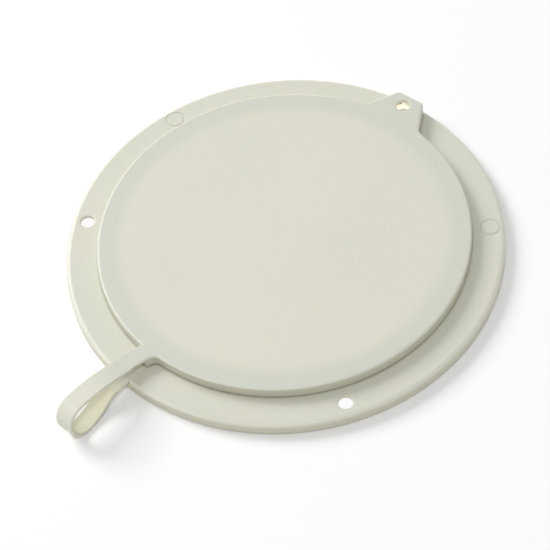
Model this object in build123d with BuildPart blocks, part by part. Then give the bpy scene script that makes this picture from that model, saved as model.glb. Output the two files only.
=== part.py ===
"""Tethered inspection cover for a tank's hand hole, moulded flat and folded over, in millimetres.

The base ring lies on Z = 0 with the centre of its opening at the origin. The strap leaves the
ring towards -X, loops back and ends in the cover, whose plug fills the opening. The grip tab
and its hole stand on the +X side.
"""
import os
from math import cos, hypot, radians, sin, tan

from build123d import *

# The moulding's walls
SKIN_T = 1.35             # top skins of the ring and the cover, and the strap, which is the skin run on
WALL_T = 1.6              # upright walls round the edges, as deep as the ring or the cover

# Base ring
OPENING_D = 128.0         # clear opening, for a nominal five-inch hand hole
LIP_W = 6.5               # the cover's lip rests on the ring this far out from the opening
MARGIN_W = 12.5           # the ring shows this far out from the cover
BASE_T = 5.0              # overall thickness
BASE_EDGE = 1.6           # rounding of the top outer edge
BASE_BREAK = 0.4          # small edge breaks: underside rim and both edges of the opening
HOLE_D = 5.5              # fixing holes, clearance for M5
HOLE_INSET = 6.0          # from the ring's rim to the holes' centres
HOLE_COUNT = 3
HOLE_STEP = 117.1         # degrees from one fixing hole to the next
MARK_D = 7.6              # ejector pins' witness rings on the top face
MARK_LINE = 0.45          # width of the ring
MARK_DEPTH = 0.12
MARK_INSET = 5.5          # from the ring's rim to the marks' centres
MARK_ANGLES = (75.7, 313.0)

# Cover
COVER_T = 4.8             # overall thickness
COVER_EDGE = 0.8          # rounding of the top edge
TAB_ANGLE = 3.9           # the tab and its hole stand this far round from the strap's line
TAB_NOSE = 5.4            # from the hole's centre to the tab's end
TAB_END = 11.6            # width at the end, between the sharp corners
TAB_FLARE = 28.0          # how far each side leans from the tab's centre line, degrees
TAB_CORNER = 2.1
TAB_ROOT = 5.0

# Plug under the cover
PLUG_LIFT = 0.4           # the skirt's lower edge above the ring's underside
PLUG_GAP = 0.3            # radial clearance between the sealing bead and the opening
BEAD = 0.3                # how far the bead stands proud of the skirt
BEAD_H = 1.2
BEAD_Z = 1.4              # from the skirt's lower edge to the bead's middle
SKIRT_T = 2.0
SKIRT_LEAD = 0.7          # lead-in chamfer at the skirt's lower edge
SKIRT_BRACE = 1.2         # sloped corner between the skirt's inner wall and the cover's skin

# Strap
STRAP_W = 7.4
STRAP_EDGE = 0.3          # sloped corners along the band's four long edges
STRAP_Y = 5.4             # the loop's middle plane
ROOT_Y = 3.2              # the strap's middle where it leaves the cover's rim
ROOT_X = 3.6              # length of the full-thickness flare beyond the rim
ROOT_FILLETS = (3.2, 2.0)  # where the flare meets the rim, on the -Y side and the +Y side
LOOP_REACH = 29.2         # from the ring's rim to the far end of the loop
LOOP_RISE = 4.8           # the loop's highest line above the cover's top face
LOOP_LIFT = 0.2           # the loop's lowest line above the resting surface
LOW_SLOPE = 20.0          # how steeply the lower run leaves the base's level, degrees
LOW_BEND_R = 8.0
BELLY_R = 30.0
TOP_SLOPE = 17.0          # how steeply the upper run comes down to the cover, degrees
TOP_BEND_R = 15.0
CREST_R = 58.0

# Heights and places that follow from the sizes above
opening_r = OPENING_D / 2
cover_r = opening_r + LIP_W
base_r = cover_r + MARGIN_W
hole_pitch_r = base_r - HOLE_INSET
tab_reach = hole_pitch_r + TAB_NOSE
skirt_r = opening_r - PLUG_GAP - BEAD
cover_z = BASE_T
top_z = BASE_T + COVER_T
low_z = BASE_T - SKIN_T / 2                       # middle of the band at the base
high_z = top_z - SKIN_T / 2                       # middle of the band at the cover
belly_z = LOOP_LIFT + SKIN_T / 2
crest_z = top_z + LOOP_RISE - SKIN_T / 2
cap_r = (crest_z - belly_z) / 2                    # of the band's middle line round the end
cap_x = -(base_r + LOOP_REACH - cap_r - SKIN_T / 2)


def slope_run(rise, slope, radii):
    """Length of the straight run between two tangent arcs that together climb one rise."""
    return (rise - sum(radii) * (1 - cos(radians(slope)))) / sin(radians(slope))


low_run = slope_run(low_z - belly_z, LOW_SLOPE, (LOW_BEND_R, BELLY_R))
top_run = slope_run(crest_z - high_z, TOP_SLOPE, (CREST_R, TOP_BEND_R))
low_bend_x = cap_x + (LOW_BEND_R + BELLY_R) * sin(radians(LOW_SLOPE)) + low_run * cos(radians(LOW_SLOPE))
top_bend_x = cap_x + (CREST_R + TOP_BEND_R) * sin(radians(TOP_SLOPE)) + top_run * cos(radians(TOP_SLOPE))
flare_x = -(cover_r + ROOT_X)
root_skew = (STRAP_Y - ROOT_Y) / (-top_bend_x - cover_r)
flare_y = ROOT_Y + root_skew * ROOT_X

# Stretches of the band's middle line: ("arc", radius, turn in degrees) or ("run", length).
# A negative turn closes the loop, a positive one is a counter-bend at one of the strap's roots.
# The loop folds across its far end, where the two halves of its round end meet.
half_cap = ("arc", cap_r, -90)
low_bend, belly = ("arc", LOW_BEND_R, LOW_SLOPE), ("arc", BELLY_R, -LOW_SLOPE)
crest, top_bend = ("arc", CREST_R, -TOP_SLOPE), ("arc", TOP_BEND_R, TOP_SLOPE)
strap_shapes = {
    "strap_lower_half": [low_bend, ("run", low_run), belly, half_cap],
    "strap_upper_half": [half_cap, crest, ("run", top_run), top_bend],
}

os.makedirs("parts", exist_ok=True)


def finish(piece, label):
    """Name a finished piece and write its file."""
    piece.part.label = label
    export_step(piece.part, f"parts/{label}.step")


def circles_at(piece, radius, height):
    """The piece's circular edges of one radius at one height."""
    level = piece.edges().filter_by(GeomType.CIRCLE).filter_by_position(Axis.Z, height, height)
    return level.filter_by(lambda edge: abs(edge.radius - radius) < 0.001)


def band_section():
    """The band's cross-section: a flat oblong with sloped corners."""
    oblong = Rectangle(STRAP_W, SKIN_T)
    chamfer(oblong.vertices(), STRAP_EDGE)


def rim_corners(sketch, radius, side):
    """The outline's corners on a circle about the origin, on its +X or -X side, in order along Y."""
    on_rim = sketch.vertices().filter_by(lambda corner: abs(hypot(corner.X, corner.Y) - radius) < 0.001)
    return on_rim.filter_by(lambda corner: corner.X * side > 0).sort_by(Axis.Y)


def add_band(start, heading, shape):
    """Sweep the band along one stretch of its middle line. Returns its end and its heading there."""
    place, tangent = start, heading
    with BuildLine(Plane.XZ.offset(-STRAP_Y)) as spine:
        for kind, size, *turn in shape:
            if kind == "run":
                curve = Line(place, place + tangent * size)
            else:
                curve = JernArc(place, tangent, size, turn[0])
            place, tangent = curve @ 1, curve % 1
    with BuildSketch(Plane(origin=start, x_dir=(0, 1, 0), z_dir=heading)) as section:
        band_section()
    sweep(sections=section.sketch, path=spine.line)
    return place, tangent


# Base ring, a channel open below, with fixing holes, ejector marks and the strap's straight root
with BuildPart() as base_flange:
    with BuildSketch():
        Circle(base_r)
        Circle(opening_r, mode=Mode.SUBTRACT)
    extrude(amount=BASE_T)
    fillet(circles_at(base_flange, base_r, BASE_T), BASE_EDGE)
    sharp_edges = circles_at(base_flange, base_r, 0)
    sharp_edges += circles_at(base_flange, opening_r, 0) + circles_at(base_flange, opening_r, BASE_T)
    chamfer(sharp_edges, BASE_BREAK)
    inside_rim = Vector(-base_r + 2 * BASE_EDGE, STRAP_Y, low_z)
    root_length = inside_rim.X - low_bend_x
    place, heading = add_band(inside_rim, Vector(-1, 0, 0), [("run", root_length)])
    with BuildSketch():
        Circle(base_r - WALL_T)
        Circle(opening_r + WALL_T, mode=Mode.SUBTRACT)
    extrude(amount=BASE_T - SKIN_T, mode=Mode.SUBTRACT)
    with PolarLocations(hole_pitch_r, HOLE_COUNT, TAB_ANGLE, HOLE_COUNT * HOLE_STEP):
        Hole(HOLE_D / 2)
    for angle in MARK_ANGLES:
        with BuildSketch(Plane.XY.offset(BASE_T)):
            with PolarLocations(base_r - MARK_INSET, 1, angle):
                Circle(MARK_D / 2)
                Circle(MARK_D / 2 - MARK_LINE, mode=Mode.SUBTRACT)
        extrude(amount=-MARK_DEPTH, mode=Mode.SUBTRACT)
finish(base_flange, "base_flange")

# The strap's free length, in two halves that meet at the fold line
for label, shape in strap_shapes.items():
    with BuildPart() as stretch:
        place, heading = add_band(place, heading, shape)
    finish(stretch, label)

# Cover, a shallow tray turned over, with its flared grip tab and the flare that carries the strap
flare_inner_y = flare_y - root_skew * (-flare_x - opening_r)
tab_inner_half = TAB_END / 2 + (tab_reach - opening_r) * tan(radians(TAB_FLARE))
with BuildPart() as cover_disc:
    with BuildSketch(Plane.XY.offset(cover_z)) as outline:
        Circle(cover_r)
        Polygon(
            (opening_r, -tab_inner_half),
            (tab_reach, -TAB_END / 2),
            (tab_reach, TAB_END / 2),
            (opening_r, tab_inner_half),
            rotation=TAB_ANGLE,
            align=None,
        )
        fillet(rim_corners(outline, hypot(tab_reach, TAB_END / 2), 1), TAB_CORNER)
        fillet(rim_corners(outline, cover_r, 1), TAB_ROOT)
        Polygon(
            (flare_x, flare_y - STRAP_W / 2),
            (-opening_r, flare_inner_y - STRAP_W / 2),
            (-opening_r, flare_inner_y + STRAP_W / 2),
            (flare_x, flare_y + STRAP_W / 2),
            align=None,
        )
        for corner, radius in zip(rim_corners(outline, cover_r, -1), ROOT_FILLETS):
            fillet(corner, radius)
    extrude(amount=COVER_T)
    upper_edges = cover_disc.edges().filter_by_position(Axis.Z, top_z, top_z)
    fillet(upper_edges.sort_by(Axis.X)[1:], COVER_EDGE)
    with BuildSketch(Plane(origin=place, x_dir=(0, 1, 0), z_dir=heading)):
        band_section()
    to_flare = Vector(flare_x - top_bend_x, flare_y - STRAP_Y, 0)
    extrude(amount=to_flare.length, dir=to_flare)
    with BuildSketch(Plane.XY.offset(cover_z)):
        offset(outline.sketch, amount=-WALL_T)
    extrude(amount=COVER_T - SKIN_T, mode=Mode.SUBTRACT)
    with PolarLocations(hole_pitch_r, 1, TAB_ANGLE):
        Hole(HOLE_D / 2)
finish(cover_disc, "cover_disc")

# Plug: a skirt under the cover's skin, with a lead-in and a bead that seals in the base's opening
foot_z = PLUG_LIFT
bead_z = foot_z + BEAD_Z
skin_z = top_z - SKIN_T                            # underside of the cover's skin
skirt_inner_r = skirt_r - SKIRT_T
with BuildPart() as cover_plug:
    with BuildSketch(Plane.XZ):
        with BuildLine():
            Polyline(
                (skirt_r, bead_z - BEAD_H / 2),
                (skirt_r + BEAD, bead_z),
                (skirt_r, bead_z + BEAD_H / 2),
                (skirt_r, skin_z),
                (skirt_inner_r - SKIRT_BRACE, skin_z),
                (skirt_inner_r, skin_z - SKIRT_BRACE),
                (skirt_inner_r, foot_z),
                (skirt_r - SKIRT_LEAD, foot_z),
                (skirt_r, foot_z + SKIRT_LEAD),
                (skirt_r, bead_z - BEAD_H / 2),
            )
        make_face()
    revolve(axis=Axis.Z)
finish(cover_plug, "cover_plug")
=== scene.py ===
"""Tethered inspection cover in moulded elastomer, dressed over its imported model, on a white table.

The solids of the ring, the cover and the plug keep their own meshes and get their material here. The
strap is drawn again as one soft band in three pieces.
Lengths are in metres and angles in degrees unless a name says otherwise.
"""
from functools import cached_property
from math import cos, pi, radians, sin

import bpy
from mathutils import Matrix, Vector


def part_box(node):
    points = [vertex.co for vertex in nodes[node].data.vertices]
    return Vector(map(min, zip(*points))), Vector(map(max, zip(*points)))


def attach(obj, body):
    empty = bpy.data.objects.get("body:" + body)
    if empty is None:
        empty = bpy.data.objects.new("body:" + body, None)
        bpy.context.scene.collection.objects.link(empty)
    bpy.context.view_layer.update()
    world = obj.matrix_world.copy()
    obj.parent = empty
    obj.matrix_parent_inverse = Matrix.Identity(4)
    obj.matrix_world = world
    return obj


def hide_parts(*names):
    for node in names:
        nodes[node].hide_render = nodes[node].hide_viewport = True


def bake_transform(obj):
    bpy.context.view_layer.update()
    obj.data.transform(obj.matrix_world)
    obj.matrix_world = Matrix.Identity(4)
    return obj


# Strap: the band's section, and the bends that its middle line makes between the solids' own places
STRAP_T = 0.00135
STRAP_EDGE = 0.0004       # rounding of the band's long edges
LOW_SLOPE, LOW_BEND_R, BELLY_R = 20, 0.008, 0.030
TOP_SLOPE, TOP_BEND_R, CREST_R = 17, 0.015, 0.058
STEP = 0.0003             # length of the band from one cross-section of the skin to the next
CORNER_POINTS = 7
DRIFT = 0.0014            # the soft band's lower half lies this far over to -Y at the loop

# The fixing holes: their pitch circle, the tab's place on it and the step from hole to hole
HOLE_PITCH_R, TAB_ANGLE, HOLE_STEP = 0.077, 3.9, 117.1

# Camera, on the line of sight of the photograph
LENS = 130.9
SENSOR = 36.0
SIGHT_AZIMUTH = -42.0
SIGHT_ELEVATION = 52.6
ROLL = -7.79
SIGHT_DISTANCE = 0.7577
SHIFT_RIGHT, SHIFT_UP = -0.00511, -0.00915

# Elastomer's tones, linear
# painted light: the cover's middle is painted lighter and warmer, for light coming through the thin skin
# over the open hole
IVORY_LIT_MIDDLE = (0.705, 0.690, 0.590, 1)     # the cover's middle, a thin skin over the open hole
IVORY_COOL = (0.620, 0.635, 0.555, 1)     # the cover's border and tab
IVORY_RING = (0.668, 0.662, 0.568, 1)
IVORY_STRAP = (0.755, 0.742, 0.642, 1)
# painted shade: a darker, yellower tone on upright walls and on the inside of the strap's loop
IVORY_SHADE = (0.650, 0.622, 0.465, 1)    # upright walls, and the inside of the strap's loop
# painted highlight on the rounded upper edges
IVORY_HIGHLIGHT = (0.90, 0.89, 0.79, 1)        # rounded upper edges
# painted shade in the crease where the cover's wall meets the ring
IVORY_CREASE_SHADE = (0.17, 0.16, 0.10, 1)        # the crease at the foot of the cover's wall
HAZE = (0.35, 0.34, 0.27, 1)
SPECK = (0.30, 0.29, 0.24, 1)
GLOW = (1.0, 0.93, 0.77, 1)
# shares of the painted highlight, the painted shade on walls and the painted shade in creases
HIGHLIGHT_SHARE, WALL_SHADE_SHARE, CREASE_SHADE_SHARE = 0.40, 0.50, 0.60
DRIFT_SHARE, HAZE_SHARE, SPECK_SHARE = 0.30, 0.035, 0.16

# Where those tones change
BORDER_INSET, BORDER_BLUR = 0.001, 0.007  # the cover's cool border begins about the plug's rim
STRAP_OUTSET, STRAP_BLUR = 0.004, 0.020   # the strap takes its own tone beyond the ring's rim
COVER_EDGE_R, RING_EDGE_R = 0.0007, 0.001  # the normal runs round the solids' facets over this radius
SEAM_REACH, SEAM_BLUR = 0.0042, 0.0004    # half the strap's width and a little more
CREASE_DEPTH = 0.0016
SHELTER_DEPTH = 0.006

# Light on the white table
SKY_LIGHT = 0.40
PAPER = (0.96, 0.96, 0.96, 1)
PLAIN_UNDER, PLAIN_ROUND = 0.95, 0.05     # how much of the paper is plain white under and round the object
PLAIN_BLUR = 0.002

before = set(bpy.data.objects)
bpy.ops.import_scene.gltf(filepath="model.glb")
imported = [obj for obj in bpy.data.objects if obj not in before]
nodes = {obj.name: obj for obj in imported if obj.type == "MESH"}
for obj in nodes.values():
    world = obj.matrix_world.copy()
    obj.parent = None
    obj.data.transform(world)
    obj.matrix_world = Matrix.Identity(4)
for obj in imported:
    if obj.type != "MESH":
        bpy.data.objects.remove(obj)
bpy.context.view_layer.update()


# ---------------------------------------------------------------- materials
class Shading:
    """A node tree, and the few kinds of node that this scene builds in it."""

    def __init__(self, tree):
        self.tree = tree
        self.link = tree.links.new

    def put(self, value, socket):
        """Set a socket to a value, or link it to another node's output."""
        if isinstance(value, bpy.types.NodeSocket):
            self.link(value, socket)
        else:
            socket.default_value = value

    def node(self, kind, **sockets):
        """A node with its sockets put by name."""
        made = self.tree.nodes.new(kind)
        for key, value in sockets.items():
            self.put(value, made.inputs[key.replace("_", " ")])
        return made

    @cached_property
    def place(self):
        return self.node("ShaderNodeTexCoord").outputs["Object"]

    def noise(self, scale, detail=3.0, roughness=0.5):
        sizes = {"Scale": scale, "Detail": detail, "Roughness": roughness}
        return self.node("ShaderNodeTexNoise", Vector=self.place, **sizes).outputs["Fac"]

    def spread(self, value, low, high, to_low, to_high):
        """A value's range from low to high, spread over another range and held beyond its ends."""
        made = self.node(
            "ShaderNodeMapRange", Value=value, From_Min=low, From_Max=high, To_Min=to_low, To_Max=to_high
        )
        return made.outputs["Result"]

    def maths(self, operation, a, b):
        made = self.node("ShaderNodeMath")
        made.operation = operation
        self.put(a, made.inputs[0])
        self.put(b, made.inputs[1])
        return made.outputs["Value"]

    def mix(self, factor, a, b, kind="RGBA"):
        made = self.node("ShaderNodeMix")
        made.data_type = kind
        for name, value in (("Factor", factor), ("A", a), ("B", b)):
            self.put(value, made.inputs[name])
        return made.outputs["Result"]

    def reach(self, middle, axes=(1, 1, 1)):
        """Distance from a place, along the axes that aren't 0."""
        offset = self.node("ShaderNodeVectorMath")
        offset.operation = "MULTIPLY_ADD"
        self.link(self.place, offset.inputs[0])
        offset.inputs[1].default_value = axes
        offset.inputs[2].default_value = [-m * a for m, a in zip(middle, axes)]
        length = self.node("ShaderNodeVectorMath", Vector=offset.outputs["Vector"])
        length.operation = "LENGTH"
        return length.outputs["Value"]

    def openness(self, distance, samples):
        """1 in the open, down to 0 where other surfaces close in within a distance."""
        made = self.node("ShaderNodeAmbientOcclusion", Distance=distance)
        made.samples = samples
        return made.outputs["AO"]

    def seen_directly(self):
        """1 where the camera, a reflection or a transmitted ray looks, else 0."""
        path = self.node("ShaderNodeLightPath")
        either = path.outputs["Is Camera Ray"]
        for ray in ("Is Glossy Ray", "Is Transmission Ray"):
            either = self.maths("MAXIMUM", either, path.outputs[ray])
        return either


def radial(shade, centre, border, radius, blur):
    """Tone by the distance from the ring's axis, so that the walls take the border's tone."""
    band = shade.spread(shade.reach((0, 0, 0), (1, 1, 0)), radius - blur / 2, radius + blur / 2, 0.0, 1.0)
    band.node.interpolation_type = "SMOOTHSTEP"
    return shade.mix(band, centre, border)


def mottled(shade, tone, other):
    """Slow drifts of tone, as melt flow leaves in a thin moulding, faint haze, and fine specks of dust."""
    tone = shade.mix(shade.spread(shade.noise(22, 2.0), 0.35, 0.65, 0.0, DRIFT_SHARE), tone, other)
    tone = shade.mix(shade.spread(shade.noise(900, 2.0), 0.40, 0.60, 0.0, HAZE_SHARE), tone, HAZE)
    dust = shade.node("ShaderNodeTexVoronoi", Vector=shade.place, Scale=260.0, Randomness=1.0)
    return shade.mix(shade.spread(dust.outputs["Distance"], 0.02, 0.06, SPECK_SHARE, 0.0), tone, SPECK)


def painted_light_by_slope(shade, tone, normal):
    """Painted light by slope: a darker, yellower painted shade on upright walls, a painted highlight on
    rounded upper edges, and painted shade in the crease where walls meet.
    """
    upward = shade.node("ShaderNodeSeparateXYZ", Vector=normal).outputs["Z"]
    off_level = shade.spread(upward, 0.98, 0.86, 0.0, HIGHLIGHT_SHARE)
    off_upright = shade.spread(upward, 0.25, 0.50, 0.0, 1.0)
    # painted shade where other surfaces close in
    crease_shade = shade.spread(shade.openness(CREASE_DEPTH, 12), 0.40, 0.85, CREASE_SHADE_SHARE, 0.0)
    # painted shade on upright walls
    tone = shade.mix(shade.spread(upward, 0.15, 0.60, WALL_SHADE_SHARE, 0.0), tone, IVORY_SHADE)
    # painted highlight on rounded upper edges
    tone = shade.mix(shade.maths("MULTIPLY", off_level, off_upright), tone, IVORY_HIGHLIGHT)
    return shade.mix(crease_shade, tone, IVORY_CREASE_SHADE)


def rounded(shade, edge, seam):
    """The normal of a skin that runs round the solid's edges, but on where the strap's skin continues it."""
    bevel = shade.node("ShaderNodeBevel", Radius=edge)
    bevel.samples = 12
    own = shade.node("ShaderNodeNewGeometry").outputs["Normal"]
    at_seam = shade.spread(shade.reach(seam), SEAM_REACH, SEAM_REACH + SEAM_BLUR, 1.0, 0.0)
    return shade.mix(at_seam, bevel.outputs["Normal"], own, "VECTOR")


def glow_through(shade, shader, glows):
    """Painted light: an emission that stands for light through thin skins, only in narrow places: it goes
    out when the cover is lifted off.
    """
    glowing = 0.0
    for middle, near, far, strength in glows:
        glowing = shade.maths("ADD", glowing, shade.spread(shade.reach(middle), near, far, strength, 0.0))
    sheltered = shade.spread(shade.openness(SHELTER_DEPTH, 8), 0.45, 0.80, 1.0, 0.0)
    shade.link(shade.maths("MULTIPLY", glowing, sheltered), shader.inputs["Emission Strength"])
    shader.inputs["Emission Color"].default_value = GLOW


def gloss(shade):
    """Roughness that varies slowly, with hairline scuffs where it is rougher."""
    stretched = shade.node("ShaderNodeMapping", Vector=shade.place, Scale=(1.0, 9.0, 1.0)).outputs["Vector"]
    scuff = shade.node(
        "ShaderNodeTexNoise", Vector=stretched, Scale=70.0, Detail=6.0, Roughness=0.7, Distortion=1.5
    )
    slow = shade.spread(shade.noise(45), 0.3, 0.7, 0.33, 0.43)
    return shade.maths("ADD", slow, shade.spread(scuff.outputs["Fac"], 0.60, 0.72, 0.0, 0.16))


def relief(shade, normal=None):
    """The mould's fine texture, and a faint waviness of the soft skin."""
    skin = shade.node("ShaderNodeBump", Strength=0.10, Distance=0.00006, Height=shade.noise(2600, 3.0, 0.6))
    if normal:
        shade.link(normal, skin.inputs["Normal"])
    wave = shade.node("ShaderNodeBump", Strength=0.18, Distance=0.00025, Height=shade.noise(55, 1.0))
    shade.link(skin.outputs["Normal"], wave.inputs["Normal"])
    return wave.outputs["Normal"]


def satin(name):
    """A slightly translucent satin material, and its shading."""
    material = bpy.data.materials.new(name)
    material.use_nodes = True
    shader = material.node_tree.nodes["Principled BSDF"]
    shader.inputs["Specular IOR Level"].default_value = 0.42
    shader.inputs["Subsurface Weight"].default_value = 0.12
    shader.inputs["Subsurface Radius"].default_value = (1.0, 0.9, 0.6)
    shader.inputs["Subsurface Scale"].default_value = 0.0015
    shade = Shading(material.node_tree)
    shade.link(gloss(shade), shader.inputs["Roughness"])
    return material, shader, shade


def moulding(name, centre, border, edge, seam, glows, radius=None):
    """Elastomer of one of the solids. `glows` are (centre, full within, gone beyond, strength)."""
    material, shader, shade = satin(name)
    tone = radial(shade, centre, border, radius, BORDER_BLUR) if radius else centre
    normal = rounded(shade, edge, seam)
    tone = painted_light_by_slope(shade, mottled(shade, tone, border), normal)
    shade.link(tone, shader.inputs["Base Color"])
    shade.link(relief(shade, normal), shader.inputs["Normal"])
    glow_through(shade, shader, glows)
    return material


def soft_band(name, root, outer, inner, radius):
    """Elastomer of the strap, with a darker, yellower painted shade where the mesh's own "inside" value is
    1.
    """
    material, shader, shade = satin(name)
    inside = shade.node("ShaderNodeAttribute")
    inside.attribute_name = "inside"
    tone = shade.mix(inside.outputs["Fac"], radial(shade, root, outer, radius, STRAP_BLUR), inner)
    shade.link(mottled(shade, tone, root), shader.inputs["Base Color"])
    shade.link(relief(shade), shader.inputs["Normal"])
    return material


opening_r, ring_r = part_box("cover_plug")[1].x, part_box("base_flange")[1].x
ring_top, cover_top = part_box("base_flange")[1].z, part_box("cover_disc")[1].z
root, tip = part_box("strap_lower_half"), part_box("strap_upper_half")
strap_y, strap_w = (root[0].y + root[1].y) / 2, root[1].y - root[0].y


def on_pitch(angle, z):
    """A place on the circle of the fixing holes."""
    return (HOLE_PITCH_R * cos(radians(angle)), HOLE_PITCH_R * sin(radians(angle)), z)


# painted light: an emission makes the grip tab's hollow, and the walls of the ring's other fixing holes,
# glow
tab_glow = (on_pitch(TAB_ANGLE, ring_top + 0.0004), 0.0050, 0.0054, 0.68)
hole_glows = [(on_pitch(TAB_ANGLE + k * HOLE_STEP, ring_top / 2), 0.0029, 0.0039, 0.90) for k in (1, 2)]
cover_finish = moulding(
    "elastomer_cover",
    IVORY_LIT_MIDDLE,
    IVORY_COOL,
    edge=COVER_EDGE_R,
    seam=(tip[1].x, strap_y, cover_top),
    glows=[tab_glow],
    radius=opening_r - BORDER_INSET,
)
ring_finish = moulding(
    "elastomer_ring",
    IVORY_RING,
    IVORY_COOL,
    edge=RING_EDGE_R,
    seam=(root[1].x, strap_y, ring_top),
    glows=[tab_glow, *hole_glows],
)
strap_finish = soft_band("elastomer_strap", IVORY_COOL, IVORY_STRAP, IVORY_SHADE, ring_r + STRAP_OUTSET)
finishes = {"cover_disc": cover_finish, "cover_plug": cover_finish, "base_flange": ring_finish}
for name, finish in finishes.items():
    nodes[name].data.materials.clear()
    nodes[name].data.materials.append(finish)


# ---------------------------------------------------------------- strap
cap_r = (tip[1].z - root[0].z - STRAP_T) / 2


def walk(start, heading, shapes):
    """Middle line of one stretch of the strap, by arcs and runs: (place, heading in radians) every STEP."""
    place, angle = Vector(start), heading
    line = [(place.copy(), angle)]
    for kind, size, *turn in shapes:
        bend = radians(turn[0]) if turn else 0.0
        length = abs(bend) * size if turn else size
        count = max(2, round(length / STEP))
        for _ in range(count):
            middle = angle + bend / count / 2
            chord = 2 * size * sin(abs(bend) / count / 2) if turn else length / count
            place = place + Vector((cos(middle), 0, sin(middle))) * chord
            angle += bend / count
            line.append((place.copy(), angle))
    return line


def section():
    """The band's rounded outline, anticlockwise seen along the heading: (across, out, way of the normal)."""
    points = []
    for side, top, first in ((1, 1, 0), (-1, 1, 90), (-1, -1, 180), (1, -1, 270)):
        for k in range(CORNER_POINTS):
            a = radians(first + 90 * k / (CORNER_POINTS - 1))
            across = side * (strap_w / 2 - STRAP_EDGE) + STRAP_EDGE * cos(a)
            points.append((across, top * (STRAP_T / 2 - STRAP_EDGE) + STRAP_EDGE * sin(a), a))
    return points


def band(name, line, drift=(0, 0)):
    """Closed, smooth-shaded mesh of the band along one stretch, whose ends lie over to -Y by `drift`."""
    outline = section()
    across = Vector((0, 1, 0))
    verts, normals, faces = [], [], []
    for i, (place, angle) in enumerate(line):
        part = i / (len(line) - 1)
        over = drift[0] + (drift[1] - drift[0]) * part * part * (3 - 2 * part)
        out = Vector((-sin(angle), 0, cos(angle)))
        verts += [place + across * (a - over) + out * b for a, b, _ in outline]
        normals += [across * cos(turn) + out * sin(turn) for _, _, turn in outline]
    n = len(outline)
    for i in range(len(line) - 1):
        for j in range(n):
            k = (j + 1) % n
            faces.append((i * n + j, i * n + k, (i + 1) * n + k, (i + 1) * n + j))
    faces.append(tuple(range(n))[::-1])
    faces.append(tuple(range((len(line) - 1) * n, len(line) * n)))
    mesh = bpy.data.meshes.new(name)
    mesh.from_pydata(verts, [], faces)
    for polygon in mesh.polygons:
        polygon.use_smooth = len(polygon.vertices) == 4
    mesh.normals_split_custom_set_from_vertices(normals)
    piece = bpy.data.objects.new(name, mesh)
    bpy.context.scene.collection.objects.link(piece)
    mesh.materials.append(strap_finish)
    inside = mesh.attributes.new("inside", "FLOAT", "POINT")
    inside.data.foreach_set("value", [float(out < 0) for _, out, _ in outline] * len(line))
    return piece


def run_length(rise, slope, radii):
    """Length of the straight run between two arcs that climb one rise together."""
    return (rise - sum(radii) * (1 - cos(radians(slope)))) / sin(radians(slope))


low_z, belly_z = ring_top - STRAP_T / 2, root[0].z + STRAP_T / 2
high_z, crest_z = cover_top - STRAP_T / 2, tip[1].z - STRAP_T / 2
low_run = run_length(low_z - belly_z, LOW_SLOPE, (LOW_BEND_R, BELLY_R))
top_run = run_length(crest_z - high_z, TOP_SLOPE, (CREST_R, TOP_BEND_R))
lower_shapes = [("arc", LOW_BEND_R, LOW_SLOPE), ("run", low_run), ("arc", BELLY_R, -LOW_SLOPE)]
upper_shapes = [("arc", CREST_R, -TOP_SLOPE), ("run", top_run), ("arc", TOP_BEND_R, TOP_SLOPE)]
lower_line = walk((root[1].x, strap_y, low_z), pi, lower_shapes)
bend_line = walk(*lower_line[-1], [("arc", cap_r, -180)])
upper_line = walk(*bend_line[-1], upper_shapes)

strap_lower = band("strap_lower", lower_line, (0, DRIFT))
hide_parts("strap_lower_half")
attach(strap_lower, "base")
strap_upper = band("strap_upper", upper_line)
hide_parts("strap_upper_half")
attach(strap_upper, "cover")
# the round end bends from one half to the other, between the inner faces of its two ends
strap_bend = band("strap_bend", bend_line, (DRIFT, 0))
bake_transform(strap_bend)


# ---------------------------------------------------------------- table, light and camera
world = bpy.data.worlds.new("studio")
bpy.context.scene.world = world
world.use_nodes = True
shade = Shading(world.node_tree)
soft = world.node_tree.nodes["Background"]
soft.inputs["Color"].default_value = (1.0, 1.0, 1.0, 1)
soft.inputs["Strength"].default_value = SKY_LIGHT
white = shade.node("ShaderNodeBackground", Color=(1, 1, 1, 1), Strength=1.0)
choice = shade.node("ShaderNodeMixShader", Fac=shade.seen_directly())
shade.link(soft.outputs["Background"], choice.inputs[1])
shade.link(white.outputs["Background"], choice.inputs[2])
shade.link(choice.outputs["Shader"], world.node_tree.nodes["World Output"].inputs["Surface"])

table_mesh = bpy.data.meshes.new("table")
table_mesh.from_pydata([(-3, -3, 0), (3, -3, 0), (3, 3, 0), (-3, 3, 0)], [], [(0, 1, 2, 3)])
table = bpy.data.objects.new("table", table_mesh)
table.location.z = -0.00002
bpy.context.scene.collection.objects.link(table)
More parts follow.
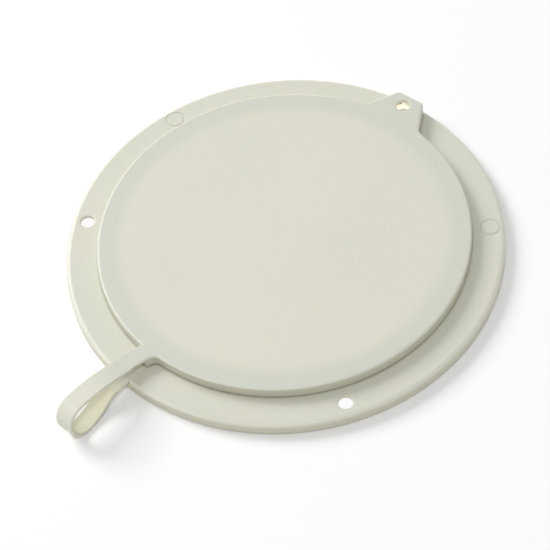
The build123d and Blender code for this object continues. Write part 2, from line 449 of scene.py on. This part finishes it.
# White paper. To the camera it is part diffuse and part plain white, so that it keeps the object's
# shadow; under the object, where it shows through the holes, it is nearly all plain white.
paper = bpy.data.materials.new("white_paper")
paper.use_nodes = True
shade = Shading(paper.node_tree)
matt = paper.node_tree.nodes["Principled BSDF"]
matt.inputs["Base Color"].default_value = PAPER
matt.inputs["Roughness"].default_value = 0.9
matt.inputs["Specular IOR Level"].default_value = 0.1
under = shade.spread(shade.reach((0, 0, 0)), ring_r - PLAIN_BLUR, ring_r, PLAIN_UNDER, PLAIN_ROUND)
plain = shade.node("ShaderNodeEmission", Color=(1, 1, 1, 1), Strength=1.0)
blank = shade.node("ShaderNodeMixShader", Fac=shade.maths("MULTIPLY", under, shade.seen_directly()))
shade.link(matt.outputs["BSDF"], blank.inputs[1])
shade.link(plain.outputs["Emission"], blank.inputs[2])
shade.link(blank.outputs["Shader"], paper.node_tree.nodes["Material Output"].inputs["Surface"])
table_mesh.materials.append(paper)


def area_light(name, azimuth, elevation, distance, size, power):
    """A square soft box that faces the object from a direction in the model's own frame."""
    lamp = bpy.data.lights.new(name, "AREA")
    lamp.size, lamp.energy = size, power
    lamp_object = bpy.data.objects.new(name, lamp)
    bpy.context.scene.collection.objects.link(lamp_object)
    a, e = radians(azimuth), radians(elevation)
    lamp_object.location = Vector((cos(a) * cos(e), sin(a) * cos(e), sin(e))) * distance
    lamp_object.rotation_euler = (-lamp_object.location).to_track_quat("-Z", "Y").to_euler()


area_light("key", 94, 35, 3.0, 1.4, 65)
area_light("top", 228, 66, 2.5, 0.4, 16)

# the camera's axes, from the line of sight and its roll
a, e, r = radians(SIGHT_AZIMUTH), radians(SIGHT_ELEVATION), radians(ROLL)
level_right = Vector((cos(a), sin(a), 0))
forward = Vector((-sin(a) * cos(e), cos(a) * cos(e), -sin(e)))
level_up = level_right.cross(forward)
right = level_right * cos(r) + level_up * sin(r)
up = -level_right * sin(r) + level_up * cos(r)
lens = bpy.data.cameras.new("camera")
lens.lens, lens.sensor_width = LENS, SENSOR
lens.clip_start, lens.clip_end = 0.01, 20
camera = bpy.data.objects.new("camera", lens)
bpy.context.scene.collection.objects.link(camera)
stand = -forward * SIGHT_DISTANCE + level_right * SHIFT_RIGHT + level_up * SHIFT_UP
axes = Matrix((right, up, -forward)).transposed()
camera.matrix_world = Matrix.Translation(stand) @ axes.to_4x4()
bpy.context.scene.camera = camera
bpy.context.scene.view_settings.view_transform = "Standard"
